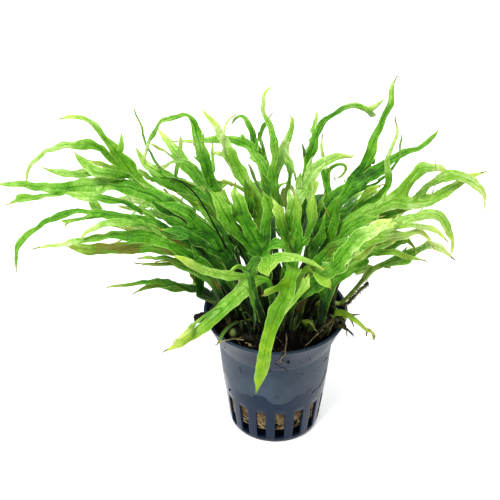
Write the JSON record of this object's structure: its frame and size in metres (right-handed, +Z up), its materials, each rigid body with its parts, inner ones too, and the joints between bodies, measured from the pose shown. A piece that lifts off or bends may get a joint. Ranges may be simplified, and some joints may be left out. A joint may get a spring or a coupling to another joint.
{
  "type": "potted trident java fern",
  "caption": "Potted water fern with narrow forked fronds that arch out of a small dark net pot filled with growing wool.",
  "frame": {"origin": "middle of the underside of the pot, on the surface that the pot stands on", "axes": "+Z up along the axis of the pot; -Y towards the front of the plant; +X to its right"},
  "size_m": [0.1742, 0.132, 0.1291],
  "materials": {
    "pot": "moulded dark blue-grey plastic, semi-gloss, wet in its lower part",
    "wool": "fibrous tan wool, damp, with roots in it",
    "rhizome": "dark green creeping stem with brown scales",
    "leaf": "fresh green blade, satin, lighter and more yellow towards the tips",
    "moss": "dark moss and fine roots",
    "dry_root": "dry thin root, matte",
    "dead_tissue": "dead brown leaf and stem, matte"
  },
  "bodies": {
    "root": {"net_pot": "pot", "wool_plug": "wool", "rhizome_1": "rhizome", "rhizome_2": "rhizome", "rhizome_3": "rhizome", "rhizome_4": "rhizome", "rhizome_5": "rhizome", "root_clump": "moss", "broken_stub": "dead_tissue", "dry_twig": "dry_root", "hanging_root": "dry_root", "dead_leaf": "dead_tissue", "frond_left_arch": "leaf", "frond_left_reach": "leaf", "frond_left_droop": "leaf", "frond_left_fork": "leaf", "frond_left_broad": "leaf", "frond_left_wavy": "leaf", "frond_left_low": "leaf", "frond_left_inner_1": "leaf", "frond_left_inner_2": "leaf", "frond_left_inner_3": "leaf", "frond_left_crown": "leaf", "frond_top_1": "leaf", "frond_top_2": "leaf", "frond_top_3": "leaf", "frond_top_4": "leaf", "frond_top_5": "leaf", "frond_top_6": "leaf", "frond_top_7": "leaf", "frond_top_8": "leaf", "frond_top_9": "leaf", "frond_centre_1": "leaf", "frond_centre_2": "leaf", "frond_centre_3": "leaf", "frond_right_crown": "leaf", "frond_right_upper": "leaf", "frond_right_narrow": "leaf", "frond_right_reach": "leaf", "frond_right_middle": "leaf", "frond_right_droop": "leaf", "frond_right_curl": "leaf", "frond_right_light": "leaf", "frond_right_long": "leaf", "frond_right_stalk": "leaf", "frond_right_hand": "leaf", "frond_right_low": "leaf", "frond_right_inner": "leaf", "frond_front_hand": "leaf", "frond_front_arch": "leaf", "frond_front_left": "leaf", "frond_front_low": "leaf", "frond_front_inner": "leaf", "young_leaf_1": "leaf", "young_leaf_2": "leaf", "frond_back_1": "leaf", "frond_back_2": "leaf", "frond_back_3": "leaf", "frond_back_4": "leaf", "frond_back_5": "leaf"}
  },
  "joints": []
}
